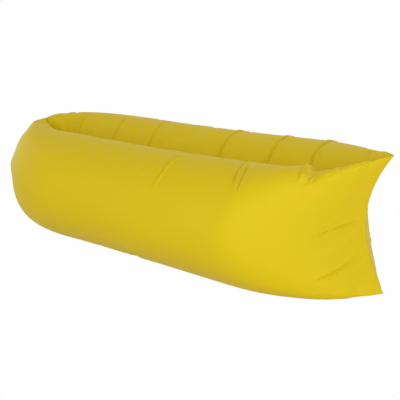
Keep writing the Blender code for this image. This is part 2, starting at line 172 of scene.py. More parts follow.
# Points of a tube's skin: along runs from the tips, angle 0 faces away from the other tube and
# a quarter turn is up, side is -1 for the near tube, and inset draws the skin inward
def tubeSurface(along, angle, side, inset=0.0):
    across = np.cos(angle)
    rise = np.sin(angle)
    level = smoothStep((rise + 1) / 2)
    wedgeLength = mix(tube["wedgeLengthLow"], tube["wedgeLengthTop"], level)
    wedgePower = mix(tube["wedgePowerLow"], tube["wedgePowerTop"], level)
    wedge = 1 - (1 - unit(along / wedgeLength)) ** wedgePower
    crown = roundedRise((tube["length"] - along) / tube["crownLength"], tube["crownPower"])
    taper = 1 - tube["widthTaper"] * (unit(along / tube["length"]) - 0.5)
    halfWidth = tube["width"] / 2 * taper * wedge * crown
    least = np.where(along > tube["length"] / 2, tube["neckHalfWidth"], tube["seamHalfWidth"])
    halfWidth = np.maximum(halfWidth, least)
    height, middle = tubeSection(along)
    near = np.exp(-(np.maximum(tube["length"] - along, 0.0) / tube["neckFill"]) ** 2)
    inner = near * smoothStep(-across / tube["neckFillEdge"]) * (rise > 0)  # the gathered tops meet there
    rise = np.sign(rise) * np.abs(rise) ** mix(1.0, tube["neckFillPower"], inner)
    press = tube["press"] * np.minimum(wedge, crown)
    z = middle + (height / 2 - inset) * rise
    y = halfWidth - press + (halfWidth - inset) * across
    y = softAbove(y, contactGap(along, z - middle) / 2 + inset, tube["contactSoftness"] * np.minimum(wedge, 1.0))
    sink = tube["groundSink"] * unit(-rise) ** tube["groundPower"] * crown
    z = softAbove(z - sink, inset, tube["groundSoftness"])
    if side < 0:
        z = z - rimDrop(along, angle)
    fade = (1 - unit(along / (tube["seamHollowReach"] * wedgeLength))) ** tube["seamHollowPower"]
    x = tipX - along - tube["seamHollow"] * (1 - rise * rise) * fade
    past = unit((along - tube["length"]) / tube["neckLength"])
    endZ = loop["centreHeight"] + tube["neckEndHeight"] / 2 * rise
    endX = neckX - tube["neckLength"] - neckRecess(endZ)
    z = mix(z, endZ, past)
    x = np.where(along > tube["length"], mix(neckX, endX, past), x)
    return np.stack(np.broadcast_arrays(x, side * y, z), axis=-1)


# Creases: half width, depth, how much more the cloth bulges on one side, and then the path as
# distances from the tips with section angles
creases = {
    "far": [
        (0.0030, 0.0052, 0.8, (1.532, 150), (1.544, 136), (1.558, 120), (1.568, 106)),
        (0.0030, 0.0064, 0.8, (1.326, 152), (1.335, 140), (1.346, 125), (1.361, 105), (1.370, 92)),
        (0.0030, 0.0064, 0.8, (1.124, 152), (1.132, 138), (1.142, 120), (1.158, 100), (1.168, 86)),
        (0.0040, 0.0016, 0.3, (0.960, 145), (0.966, 128), (0.974, 112)),
        (0.0031, 0.0070, 0.8, (0.756, 150), (0.767, 135), (0.777, 120), (0.782, 104), (0.789, 75), (0.792, 62)),
        (0.0031, 0.0070, 0.8, (0.524, 150), (0.534, 134), (0.547, 119), (0.551, 101), (0.561, 81), (0.566, 66)),
        (0.0031, 0.0070, 0.8, (0.322, 148), (0.337, 133), (0.353, 122), (0.363, 108), (0.369, 80), (0.372, 64)),
        (0.0040, 0.0036, -0.4, (0.151, 97), (0.118, 103), (0.097, 109)),
        (0.0036, 0.0030, 0.4, (0.118, 88), (0.100, 100), (0.090, 112)),
    ],
    "near": [
        (0.0032, 0.0078, -0.8, (0.742, 90), (0.746, 82), (0.752, 68), (0.756, 50), (0.757, 34)),
        (0.0032, -0.0078, 0.8, (0.484, 108), (0.470, 94), (0.454, 79), (0.440, 66), (0.410, 50)),
        (0.0030, -0.0066, 0.8, (0.440, 84), (0.421, 74), (0.404, 62), (0.386, 48)),
        (0.0034, -0.0058, 0.6, (0.262, 112), (0.258, 98), (0.248, 84), (0.230, 70), (0.212, 56)),
        (0.0034, -0.0048, 0.4, (0.204, 74), (0.196, 66), (0.188, 56), (0.186, 48)),
        (0.0032, 0.0020, 0.3, (1.335, 118), (1.350, 100)),
        (0.0032, 0.0020, 0.3, (1.132, 122), (1.146, 100)),
        (0.0044, 0.0022, 0.4, (0.176, 70), (0.160, 58), (0.152, 46)),
        (0.0042, 0.0024, -0.4, (0.162, 76), (0.147, 66), (0.136, 57)),
        (0.0042, 0.0020, 0.4, (0.148, 86), (0.134, 74), (0.120, 66)),
        (0.0040, 0.0018, -0.4, (0.134, 92), (0.122, 80), (0.108, 72)),
        (0.0034, -0.0036, 0.5, (0.090, 94), (0.070, 80), (0.052, 64)),
        (0.0030, -0.0032, -0.5, (0.072, 98), (0.061, 84), (0.050, 74)),
    ],
}

# Long tension creases that run to the sewn end's seam, where the columns lie closer together
seamCreases = {
    "far": [
        (0.0042, 0.0040, 0.5, (0.150, -32), (0.110, -30), (0.070, -27), (0.035, -22)),
        (0.0040, 0.0034, -0.5, (0.140, 22), (0.100, 20), (0.060, 19)),
    ],
    "near": [
        (0.0028, 0.0054, 0.1, (0.112, -2), (0.095, -1), (0.075, 0), (0.054, 1), (0.028, 2), (0.010, 3)),
        (0.0034, 0.0052, 0.1, (0.130, -41), (0.100, -39), (0.068, -35.5), (0.040, -31), (0.022, -27), (0.010, -23)),
    ],
}

# Rounded swellings and dips: distance from the tips, section angle, radius and height
puffs = {
    "far": [
        (0.790, 66, 0.016, 0.0040), (0.563, 72, 0.015, 0.0040), (0.368, 70, 0.015, 0.0046),
        (0.128, 94, 0.016, 0.0036), (0.055, 84, 0.030, 0.0070),
    ],
    "near": [
        (0.202, 64, 0.012, 0.0040), (0.066, 72, 0.014, 0.0030), (1.665, 66, 0.070, -0.0095),
        (1.690, 90, 0.035, -0.0080), (1.640, 14, 0.040, 0.0110), (1.420, -58, 0.220, 0.0085),
        (0.120, -62, 0.090, 0.0100), (1.50, 112, 0.090, -0.0060),
    ],
}

# Profile across a crease, in half widths, and the shares of its path over which it starts and ends
creaseShape = {"valleyPower": 1.2, "bulge": 0.55, "bulgePlace": 2.0, "bulgeWidth": 1.1, "start": 0.20, "end": 0.25}
reach = tube["girth"] / 360  # metres of girth for each degree of section angle


def creaseOffset(along, degrees, half, depth, lean, *path):
    path = np.array([(place, turn * reach) for place, turn in path])
    lengths = np.hypot(*(path[1:] - path[:-1]).T)
    total = lengths.sum()
    best = np.full(along.shape, np.inf)
    signed = np.zeros(along.shape)
    share = np.zeros(along.shape)
    done = 0.0
    here = np.stack([along, degrees * reach], axis=-1)
    for first, second, length in zip(path, path[1:], lengths):
        step = (second - first) / length
        run = np.clip((here - first) @ step, 0.0, length)
        offset = here - first - run[..., None] * step
        distance = np.hypot(offset[..., 0], offset[..., 1])
        cross = step[0] * offset[..., 1] - step[1] * offset[..., 0]
        closer = distance < best
        best = np.where(closer, distance, best)
        signed = np.where(closer, cross, signed)
        share = np.where(closer, (done + run) / total, share)
        done += length
    away = best / half
    oneSide = 1 + lean * np.tanh(signed / half)
    valley = -np.exp(-away ** creaseShape["valleyPower"])
    beside = (away - creaseShape["bulgePlace"]) / creaseShape["bulgeWidth"]
    bulge = creaseShape["bulge"] * oneSide * np.exp(-beside ** 2)
    ends = smoothStep(share / creaseShape["start"]) * smoothStep((1 - share) / creaseShape["end"])
    return depth * (valley + bulge) * ends


def puffHeight(along, degrees, place, turn, radius, height):
    away = np.hypot(along - place, (degrees - turn) * reach) / radius
    return height * np.exp(-away ** 2)


# Trial places for the rings and columns, and where they lie closer together: how much, and over
# how many metres, or degrees for the seam creases
spacing = {
    "straight": 6001, "crown": 1201, "crownReach": 0.03, "neck": 121, "round": 3601,
    "crease": (2.4, 0.012), "tips": (2.5, 0.02), "mouth": (1.2, 0.004), "seamCrease": (3.2, 4),
}


def denserOver(density, places, stretch, more, fade):
    away = np.maximum(np.maximum(min(stretch) - places, places - max(stretch)), 0.0)
    return np.maximum(density, 1 + more * np.exp(-(away / fade) ** 2))


def spreadPlaces(fine, steps, density, count):
    total = runningTotal(steps * (density[1:] + density[:-1]) / 2)
    return np.interp(np.linspace(0.0, total[-1], count), total, fine)


def ringPlaces(word):  # distances from the tips, closer together at the creases and over the crown
    graded = spacing["crownReach"] * np.linspace(1.0, 0.0, spacing["crown"]) ** tube["crownPower"]
    straight = np.linspace(0.0, tube["length"] - spacing["crownReach"], spacing["straight"])[:-1]
    neck = np.linspace(tube["length"], tube["length"] + tube["neckLength"], spacing["neck"])[1:]
    fine = np.concatenate([straight, tube["length"] - graded, neck])
    density = np.ones_like(fine)
    for half, depth, lean, *path in creases[word]:
        density = denserOver(density, fine, [place for place, turn in path], *spacing["crease"])
    for centre, (more, fade) in ((0.0, spacing["tips"]), (tube["length"], spacing["mouth"])):
        density += more * np.exp(-np.abs(fine - centre) / fade)
    crown = roundedRise((tube["length"] - fine) / tube["crownLength"], tube["crownPower"])
    steps = np.hypot(np.diff(fine), tube["width"] / 2 * np.diff(crown))
    return spreadPlaces(fine, steps, density, tube["rings"])


def columnAngles(word):  # section angles, closer together where creases run along the tube
    fine = np.linspace(0.0, 2 * math.pi, spacing["round"])
    turns = (np.degrees(fine) + 180) % 360 - 180
    density = np.ones_like(fine)
    for half, depth, lean, *path in seamCreases[word]:
        density = denserOver(density, turns, [turn for place, turn in path], *spacing["seamCrease"])
    return spreadPlaces(fine, 1.0, density, tube["around"] + 1)[:-1]


def gridNormals(points, angle):  # unit normals, outward where the top's normals point up
    aroundStep = np.roll(points, -1, axis=1) - np.roll(points, 1, axis=1)
    alongStep = np.gradient(points, axis=0)
    normal = np.cross(aroundStep, alongStep)
    normal = normal / np.maximum(np.linalg.norm(normal, axis=-1, keepdims=True), 1e-12)
    if np.sum(normal[len(points) // 2, :, 2] * np.sin(angle)) < 0:
        normal = -normal
    return normal


def gridMesh(name, points, flip, uv=None):  # closed round each row, open at both ends
    rows, columns = points.shape[:2]
    mesh = bpy.data.meshes.new(name)
    index = np.arange(rows * columns).reshape(rows, columns)
    after = np.roll(index, -1, axis=1)
    quads = np.stack([index[:-1], after[:-1], after[1:], index[1:]], axis=-1).reshape(-1, 4)
    if flip:
        quads = quads[:, ::-1]
    mesh.vertices.add(rows * columns)
    mesh.vertices.foreach_set("co", points.reshape(-1))
    mesh.loops.add(quads.size)
    mesh.loops.foreach_set("vertex_index", quads.reshape(-1))
    mesh.polygons.add(len(quads))
    mesh.polygons.foreach_set("loop_start", np.arange(0, quads.size, 4))
    mesh.update(calc_edges=True)
    mesh.polygons.foreach_set("use_smooth", np.ones(len(quads), bool))
    if uv is not None:  # one more column than points, so that the last face closes the round
        layer = mesh.uv_layers.new(name="cloth")
        corners = [uv[:-1, :-1], uv[:-1, 1:], uv[1:, 1:], uv[1:, :-1]]
        if flip:
            corners.reverse()
        layer.data.foreach_set("uv", np.stack(corners, axis=2).reshape(-1))
    return placed(name, mesh)


def placed(name, mesh):
    piece = bpy.data.objects.new(name, mesh)
    scene.collection.objects.link(piece)
    return piece


def opened(piece):
    mesh = bmesh.new()
    mesh.from_mesh(piece.data)
    mesh.verts.ensure_lookup_table()
    return mesh


def zipEnd(piece, ring, columns, outward):  # closes a flat end by triangles between its two sides
    mesh = opened(piece)
    verts = [mesh.verts[ring * columns + place] for place in range(columns)]
    top = max(range(columns), key=lambda place: verts[place].co.z)
    low = min(range(columns), key=lambda place: verts[place].co.z)
    left, right = top, top
    while not (left == low and right == low):
        nextLeft = (left - 1) % columns
        nextRight = (right + 1) % columns
        goLeft = right == low or (left != low and verts[nextLeft].co.z > verts[nextRight].co.z)
        corners = [verts[left], verts[right], verts[nextLeft if goLeft else nextRight]]
        left, right = (nextLeft, right) if goLeft else (left, nextRight)
        if len(set(corners)) == 3:
            face = mesh.faces.new(corners)
            face.normal_update()
            if face.normal.dot(Vector(outward)) < 0:
                face.normal_flip()
    mesh.to_mesh(piece.data)
    mesh.free()


def zipEnds(piece, rings, columns):
    zipEnd(piece, 0, columns, (1, 0, 0))
    zipEnd(piece, rings - 1, columns, (-1, 0, 0))


def addFaces(piece, faces):  # faces given by their vertices' numbers
    mesh = opened(piece)
    for corners in faces:
        mesh.faces.new([mesh.verts[corner] for corner in corners])
    bmesh.ops.recalc_face_normals(mesh, faces=mesh.faces)
    mesh.to_mesh(piece.data)
    mesh.free()
    return piece


def roundUv(points):  # metres along the rows and round them
    run = np.linalg.norm(np.diff(points, axis=0), axis=-1).mean(axis=1)
    closed = np.concatenate([points, points[:, :1]], axis=1)
    step = np.linalg.norm(np.diff(closed, axis=1), axis=-1).max(axis=0)
    return np.stack(np.broadcast_arrays(runningTotal(run)[:, None], runningTotal(step)[None, :]), axis=-1)


# Ridges that fan out from the gathered neck over the crown: sizes, how they widen on their way,
# their profile in widths, and their most as a share of the tube's half width there
gathers = {
    "count": 24, "scatter": (-0.35, 0.35), "width": (0.006, 0.011), "length": 0.42, "share": (0.35, 1.0),
    "depth": (0.0080, 0.0140), "bend": (-0.5, 0.5), "narrow": 0.7, "widen": 1.6, "start": 0.03,
    "power": 1.3, "valley": 0.40, "valleyPlace": 2.4, "valleyWidth": 1.3, "mostShare": 0.13, "least": 0.0004,
}


def gatherHeight(points, angle, seed):
    random = np.random.default_rng(seed)
    steps = np.linalg.norm(np.diff(points, axis=0), axis=-1)
    arc = np.concatenate([np.cumsum(steps[::-1], axis=0)[::-1], np.zeros((1, points.shape[1]))])
    closed = np.concatenate([points[:, -1:], points, points[:, :1]], axis=1)
    turns = np.concatenate([[angle[-1] - 2 * math.pi], angle, [angle[0] + 2 * math.pi]])
    metric = np.linalg.norm(closed[:, 2:] - closed[:, :-2], axis=-1) / (turns[2:] - turns[:-2])
    total = np.zeros(arc.shape)
    count = gathers["count"]
    scatter = random.uniform(*gathers["scatter"], count)
    for centre in (np.arange(count) + scatter) * 2 * math.pi / count:
        width, share, depth, bend = drawn(random, gathers, "width", "share", "depth", "bend")
        length = gathers["length"] * share
        off = (angle[None, :] - centre - bend * arc + math.pi) % (2 * math.pi) - math.pi
        away = np.abs(off * metric) / (width * (gathers["narrow"] + gathers["widen"] * arc / length))
        beside = (away - gathers["valleyPlace"]) / gathers["valleyWidth"]
        fold = np.exp(-away ** gathers["power"]) - gathers["valley"] * np.exp(-beside ** 2)
        start = smoothStep((arc - tube["neckLength"]) / gathers["start"])
        total += depth * fold * start * (1 - smoothStep(arc / length))
    halfWidth = np.ptp(points[..., 1], axis=1)[:, None] / 2
    most = gathers["mostShare"] * halfWidth + gathers["least"]
    return most * np.tanh(total / most)


# Small folds that start at the sewn end's seam
puckers = {"count": 26, "centre": (-84, 86), "length": (0.012, 0.045), "width": (1.6, 3.2),
           "slant": (-120, 120), "size": (0.0004, 0.0013), "start": 0.008}


def seamPuckers(along, degrees, seed):
    random = np.random.default_rng(seed)
    total = np.zeros(np.broadcast(along, degrees).shape)
    for count in range(puckers["count"]):
        centre, length, width, slant, size = drawn(random, puckers, "centre", "length", "width", "slant", "size")
        off = (degrees - centre - slant * along) / width
        total -= size * np.exp(-off * off) * np.exp(-along / length) * smoothStep(along / puckers["start"])
    return total


# Cloth a little too large for its tube, held at both ends and along the middle, blown up for a
# few frames. Only its short folds are kept, as heights over the tube's own surface.
folds = {
    "rings": 150, "around": 132, "crowding": 0.09, "held": 0.0040, "frames": 20, "quality": 6,
    "pressure": 4.0, "shrink": -0.035, "mass": 0.15, "tension": 12.0, "shear": 4.0, "bending": 0.05,
    "smoothing": 14, "share": 0.6, "most": 0.0030, "fade": 0.07,
}


def evenedOut(values, passes):  # for a grid that closes on itself across its columns
    for step in range(passes):
        rows = np.concatenate([values[:1], values, values[-1:]])
        values = (rows[:-2] + 2 * values + rows[2:]) / 4
        values = (np.roll(values, 1, axis=1) + 2 * values + np.roll(values, -1, axis=1)) / 4
    return values


def blowUp(piece, held):
    group = piece.vertex_groups.new(name="held")
    group.add([int(place) for place in np.flatnonzero(held)], 1.0, "REPLACE")
    modifier = piece.modifiers.new("cloth", "CLOTH")
    cloth = modifier.settings
    cloth.quality = folds["quality"]
    cloth.mass = folds["mass"]
    cloth.tension_stiffness = cloth.compression_stiffness = folds["tension"]
    cloth.shear_stiffness = folds["shear"]
    cloth.bending_stiffness = folds["bending"]
    cloth.use_pressure = True
    cloth.uniform_pressure_force = folds["pressure"]
    cloth.shrink_min = folds["shrink"]
    cloth.vertex_group_mass = "held"
    cloth.effector_weights.gravity = 0.0
    modifier.collision_settings.use_collision = False
    modifier.collision_settings.use_self_collision = False
    modifier.point_cache.frame_start = 1
    modifier.point_cache.frame_end = folds["frames"]
    for frameNumber in range(1, folds["frames"] + 1):
        scene.frame_set(frameNumber)
    grown = piece.evaluated_get(bpy.context.evaluated_depsgraph_get()).to_mesh()
    moved = np.empty(len(grown.vertices) * 3)
    grown.vertices.foreach_get("co", moved)
    scene.frame_set(1)
    return moved.reshape(-1, 3)


def foldHeights(side, word, along, degrees):
    share = np.linspace(0.0, 1.0, folds["rings"])
    rings = tube["length"] * (share - folds["crowding"] * np.sin(2 * math.pi * share))
    angle = evenTurns(folds["around"])
    points = tubeSurface(rings[:, None], angle[None, :], side)
    piece = gridMesh("blownTube", points, side > 0)
    zipEnds(piece, folds["rings"], folds["around"])
    held = np.abs(points[..., 1]) < folds["held"]
    held[:2] = held[-2:] = True
    moved = blowUp(piece, held.reshape(-1)).reshape(points.shape) - points
    bpy.data.objects.remove(piece)
    rise = np.sum(moved * gridNormals(points, angle), axis=-1)
    rise = np.where(held, 0.0, rise - evenedOut(rise, folds["smoothing"]))
    print("blown up", word, "rise", round(float(np.abs(rise).max()), 4), round(float(rise.std()), 5))
    rise = folds["most"] * np.tanh(folds["share"] * rise / folds["most"])
    rise = rise * smoothStep(rings / folds["fade"])[:, None]
    rise = np.concatenate([rise, rise[:, :1]], axis=1)
    row = np.interp(along, rings, np.arange(folds["rings"]))
    column = (degrees % 360) / 360 * folds["around"]
    low = np.clip(row.astype(int), 0, folds["rings"] - 2)
    left = np.clip(column.astype(int), 0, folds["around"] - 1)
    right = column - left
    lower = mix(rise[low, left], rise[low, left + 1], right)
    upper = mix(rise[low + 1, left], rise[low + 1, left + 1], right)
    return mix(lower, upper, row - low)


seeds = {"near": 11, "far": 23, "puckers": 5, "liner": 31, "roll": 5}

# Where the relief fades out at the mouth and the tips, and the least height over the ground
relief = {"neckShare": 0.4, "neckFade": 0.006, "tipFade": 0.004, "ground": 0.0002}


def tubePoints(side, word, along, angle):
    sideways = along[:, None]
    points = tubeSurface(sideways, angle[None, :], side)
    shape = points.shape[:2]
    degrees = np.degrees(np.broadcast_to(angle[None, :], shape))
    degrees = (degrees + 180) % 360 - 180
    places = np.broadcast_to(sideways, shape)
    height = np.zeros(shape)
    for crease in creases[word] + seamCreases[word]:
        height += creaseOffset(places, degrees, *crease)
    for puff in puffs[word]:
        height += puffHeight(places, degrees, *puff)
    height += seamPuckers(places, degrees, seeds[word] + seeds["puckers"])
    height += gatherHeight(points, angle, seeds[word])
    height += foldHeights(side, word, places, degrees)
    mouth = tube["length"] + relief["neckShare"] * tube["neckLength"]
    height *= smoothStep((mouth - along) / relief["neckFade"])[:, None] * smoothStep(along / relief["tipFade"])[:, None]
    points = points + gridNormals(points, angle) * height[..., None]
    level = points[..., 2] - tubeSection(sideways)[1]
    points[..., 1] = side * np.maximum(side * points[..., 1], contactGap(places, level) / 2)
    points[..., 2] = np.maximum(points[..., 2], relief["ground"])
    return points


def makeTube(name, side, word):
    along = ringPlaces(word)
    points = tubePoints(side, word, along, columnAngles(word))
    piece = gridMesh(name, points, side > 0, roundUv(points))
    zipEnds(piece, len(along), tube["around"])
    print(name, len(piece.data.polygons), "faces")
    return piece


# Film bag inside a tube's cloth, drawn in a little by three waves of ripples
liner = {"start": 0.112, "setback": 0.0565, "inset": 0.012, "rings": 120, "around": 72,
         "waves": (7, 11, 16), "phase": (0, 6), "slant": 9, "ripple": 0.0035}


def makeLiner(name, side):
    along = np.linspace(liner["start"], tube["length"] - liner["setback"], liner["rings"])[:, None]
    angle = evenTurns(liner["around"])[None, :]
    points = tubeSurface(along, angle, side, liner["inset"] * np.ones(along.shape))
    random = np.random.default_rng(seeds["liner"])
    ripple = sum(np.cos(count * angle + random.uniform(*liner["phase"]) + liner["slant"] * along)
                 for count in liner["waves"])
    middle = points.mean(axis=1, keepdims=True)
    points = middle + (points - middle) * (1 - liner["ripple"] * (ripple[..., None] + len(liner["waves"])))
    piece = gridMesh(name, points, side > 0, roundUv(points))
    zipEnds(piece, liner["rings"], liner["around"])
    return piece


tapes = {
    "thickness": 0.0004, "wave": 0.00005, "waveAlong": 900, "waveUp": 700,
    "joinHeight": 0.060, "joinStart": 0.150, "joinEnd": 0.0935, "joinSteps": 160, "joinRows": 7,
    "seamWidth": 0.012, "seamSetback": 0.0004, "seamTurn": 88, "seamSteps": 120, "seamRows": 5,
}


# Quads across a folded section's two ends, whose columns run out and back again
def endQuads(rows, columns):
    return [[start + corner for corner in (place, place + 1, columns - 2 - place, columns - 1 - place)]
            for start in (0, (rows - 1) * columns) for place in range(columns // 2 - 1)]


# Closed flat band from an outline's two edges in the X-Z plane, with its thickness along Y
def makeBand(name, upper, lower, rows):
    shares = np.linspace(0.0, 1.0, rows)[:, None, None]
    face = mix(np.asarray(upper)[None], np.asarray(lower)[None], shares)
    wave = tapes["wave"] * np.sin(face[..., 0] * tapes["waveAlong"]) * np.sin(face[..., 1] * tapes["waveUp"])
    front, rear = (np.stack([face[..., 0], wave + facing * tapes["thickness"] / 2, face[..., 1]], axis=-1)
                   for facing in (-1, 1))
    points = np.concatenate([front, rear[::-1]], axis=0).transpose(1, 0, 2)
    return addFaces(gridMesh(name, points, True, roundUv(points)), endQuads(len(upper), 2 * rows))


def makeJoinTape():
    places = np.linspace(tapes["joinStart"], tube["length"] - tapes["joinEnd"], tapes["joinSteps"])
    middle = tubeSection(places)[1]
    x = tipX - places - tube["seamHollow"]
    upper = np.stack([x, middle + tapes["joinHeight"] / 2], axis=-1)
    lower = np.stack([x, middle - tapes["joinHeight"] / 2], axis=-1)
    return makeBand("joinTape", upper, lower, tapes["joinRows"])


def seamLine(place, side, settings):  # on a tube's outer half, at a distance from the tips
    angle = np.radians(np.linspace(-settings["seamTurn"], settings["seamTurn"], settings["seamSteps"]))
    return tubeSurface(np.full((1, 1), place), angle[None, :], side)[0]


def makeSeamTape():
    edge = seamLine(0.0, 1, tapes)[:, [0, 2]] - np.array([tapes["seamSetback"], 0.0])
    return makeBand("seamTape", edge, edge - np.array([tapes["seamWidth"], 0.0]), tapes["seamRows"])


# The loop's middle line from the upper arm's end: distance run, place, outward direction, and
# whether it lies in a bend
def loopStations():
    half = math.pi * loop["bendRadius"]
    high, low = loop["frontLegTop"], loop["frontLegLow"]
    joints = runningTotal([high - loop["armTop"], half, high - low, half, loop["armLow"] - low])
    run = np.linspace(0.0, joints[-1], loop["stations"])
    turn = np.interp(run, joints, [math.pi, math.pi, 0.0, 0.0, -math.pi, -math.pi])
    bend = sum(1.0 * ((run >= joints[place]) & (run < joints[place + 1])) for place in (1, 3))
    outward = np.stack([np.cos(turn), np.zeros(len(run)), np.sin(turn)], axis=-1)
    middle = loop["bendRadius"] * outward
    middle[:, 0] += loop["frontLegX"] - loop["bendRadius"]
    middle[:, 2] += np.interp(run, joints, [loop["armTop"], high, high, low, low, loop["armLow"]])
    return run, middle, outward, bend


# Creases on the inside of the loop's bends, and low waves that run round the roll
wrinkles = {
    "count": 30, "half": (0.0022, 0.0042), "slant": (-0.006, 0.006), "depth": (0.0006, 0.0013),
    "elsewhere": 0.10, "blur": 21, "blurReach": 2,
    "waves": ((3, 38.0, 0.00030), (5, -61.0, 0.00022), (8, 97.0, 0.00014)),
}


def makeRoll():  # three turns of doubled cloth
    run, middle, outward, bend = loopStations()
    kernel = np.exp(-np.linspace(-wrinkles["blurReach"], wrinkles["blurReach"], wrinkles["blur"]) ** 2)
    bend = np.convolve(np.pad(bend, wrinkles["blur"] // 2, mode="edge"), kernel / kernel.sum(), mode="valid")
    steps = loop["turns"] * loop["sectionSteps"]
    turn = 2 * math.pi * np.arange(steps + 1) / loop["sectionSteps"]
    radius = loop["coreRadius"] + loop["pitch"] * turn / (2 * math.pi)
    outerRadius = radius + loop["hemThickness"]
    sectionTurn = np.concatenate([turn, turn[::-1]])
    sectionRadius = np.concatenate([outerRadius, radius[::-1]])
    inside = unit(-np.cos(sectionTurn))
    strength = wrinkles["elsewhere"] + (1 - wrinkles["elsewhere"]) * inside[None, :] * bend[:, None]
    random = np.random.default_rng(seeds["roll"])
    wrinkle = np.zeros((len(run), len(sectionTurn)))
    for count in range(wrinkles["count"]):
        place = random.uniform(0.0, run[-1])
        half, slant, depth = drawn(random, wrinkles, "half", "slant", "depth")
        off = (run[:, None] - place - slant * np.sin(sectionTurn)[None, :]) / half
        wrinkle -= depth * np.exp(-off * off) * strength
    for waves, pace, size in wrinkles["waves"]:
        wrinkle += size * (np.sin(waves * sectionTurn[None, :] + pace * run[:, None]) - 1)
    radial = sectionRadius[None, :] + wrinkle
    across = np.array([0.0, 1.0, 0.0])
    points = (middle[:, None] + outward[:, None] * (radial * np.cos(sectionTurn))[..., None]
              + across * (radial * np.sin(sectionTurn))[..., None])
    section = sectionRadius * np.array([np.cos(sectionTurn), np.sin(sectionTurn)])
    lengths = runningTotal(np.hypot(*np.diff(section, axis=1)))
    lengths = np.append(lengths, lengths[-1] + loop["hemThickness"])
    uv = np.stack(np.broadcast_arrays(run[:, None], lengths[None, :]), axis=-1)
    return addFaces(gridMesh("mouthRoll", points, False, uv), endQuads(len(run), len(sectionTurn)))


tab = {
    "width": 0.025, "thickness": 0.0015, "rounding": 0.0006, "cornerSteps": 4,
    "flat": (0.8, 0.5, 0.2, -0.2, -0.5, -0.8), "eyeRadius": 0.0026425, "laidApart": 0.0001, "tail": 2.6,
    "legSteps": 14, "spread": (0.15, 0.9, 7), "eyeSteps": 15, "rollOverlap": 0.0003, "barInset": 0.0016,
}


# Webbing that runs from the roll round the buckle's bar and back, up being 1 or -1
def makeTab(name, seamZ, barZ, up):
    half = tab["thickness"] / 2
    close = half + tab["laidApart"] / 2
    wide = tab["eyeRadius"] + half
    tailZ = barZ - up * tab["tail"] * wide
    leg = [(-close, z) for z in np.linspace(seamZ, tailZ, tab["legSteps"])]
    leg += [(mix(-close, -wide, smoothStep(share)), mix(tailZ, barZ, share))
            for share in np.linspace(*tab["spread"])]
    eye = [(-wide * math.cos(turn), barZ + up * wide * math.sin(turn))
           for turn in np.linspace(0, math.pi, tab["eyeSteps"])]
    route = np.array(leg + eye + [(-x, z) for x, z in reversed(leg)])
    ahead = np.gradient(route, axis=0)
    ahead /= np.linalg.norm(ahead, axis=1, keepdims=True)
    outward = np.stack([-ahead[:, 1], ahead[:, 0]], axis=-1) * up
    rounding = tab["rounding"]
    section = []
    for quarter, (signY, signN) in enumerate(((1, 1), (-1, 1), (-1, -1), (1, -1))):
        for place in range(tab["cornerSteps"] + 1):
            angle = math.pi / 2 * place / tab["cornerSteps"] + quarter * math.pi / 2
            section.append((signY * (tab["width"] / 2 - rounding) + rounding * math.cos(angle),
                            signN * (half - rounding) + rounding * math.sin(angle)))
        if quarter in (0, 2):
            section += [(signY * share * tab["width"] / 2, signN * half) for share in tab["flat"]]
    section = np.array(section)
    points = np.zeros((len(route), len(section), 3))
    points[..., 0] = loop["backLegX"] + route[:, None, 0] + outward[:, None, 0] * section[None, :, 1]
    points[..., 1] = section[None, :, 0]
    points[..., 2] = route[:, None, 1] + outward[:, None, 1] * section[None, :, 1]
    ends = [range(start, start + len(section)) for start in (0, (len(route) - 1) * len(section))]
    return addFaces(gridMesh(name, points, False, roundUv(points)), ends)


# Stitches: one rounded stitch is set at each point of a plain mesh, along "run" and off "up"
def stitchGroup():
    group = bpy.data.node_groups.new("stitchRow", "GeometryNodeTree")
    for name, kind in (("Geometry", "Geometry"), ("Length", "Float"), ("Thickness", "Float"), ("Thread", "Material")):
        group.interface.new_socket(name=name, in_out="INPUT", socket_type="NodeSocket" + kind)
    group.interface.new_socket(name="Geometry", in_out="OUTPUT", socket_type="NodeSocketGeometry")
    kinds = {
        "given": "NodeGroupInput", "result": "NodeGroupOutput", "places": "GeometryNodeMeshToPoints",
        "ball": "GeometryNodeMeshUVSphere", "size": "ShaderNodeCombineXYZ", "stretch": "GeometryNodeTransform",
        "run": "GeometryNodeInputNamedAttribute", "up": "GeometryNodeInputNamedAttribute",
        "first": "FunctionNodeAlignRotationToVector", "second": "FunctionNodeAlignRotationToVector",
        "copies": "GeometryNodeInstanceOnPoints", "real": "GeometryNodeRealizeInstances",
        "finish": "GeometryNodeSetMaterial",
    }
    part = {name: group.nodes.new(kind) for name, kind in kinds.items()}
    for name, value in (("Segments", 8), ("Rings", 6), ("Radius", 0.5)):
        part["ball"].inputs[name].default_value = value
    for name in ("run", "up"):
        part[name].data_type = "FLOAT_VECTOR"
        part[name].inputs["Name"].default_value = name
    part["first"].axis = "X"
    part["second"].axis = "Z"
    part["second"].pivot_axis = "X"
    for source, output, target, socket in (
            ("given", "Length", "size", "X"), ("given", "Thickness", "size", "Y"),
            ("given", "Thickness", "size", "Z"), ("ball", "Mesh", "stretch", "Geometry"),
            ("size", "Vector", "stretch", "Scale"), ("run", "Attribute", "first", "Vector"),
            ("first", "Rotation", "second", "Rotation"), ("up", "Attribute", "second", "Vector"),
            ("given", "Geometry", "places", "Mesh"), ("places", "Points", "copies", "Points"),
            ("stretch", "Geometry", "copies", "Instance"), ("second", "Rotation", "copies", "Rotation"),
            ("copies", "Instances", "real", "Geometry"), ("real", "Geometry", "finish", "Geometry"),
            ("given", "Thread", "finish", "Material"), ("finish", "Geometry", "result", "Geometry")):
        group.links.new(part[source].outputs[output], part[target].inputs[socket])
    return group


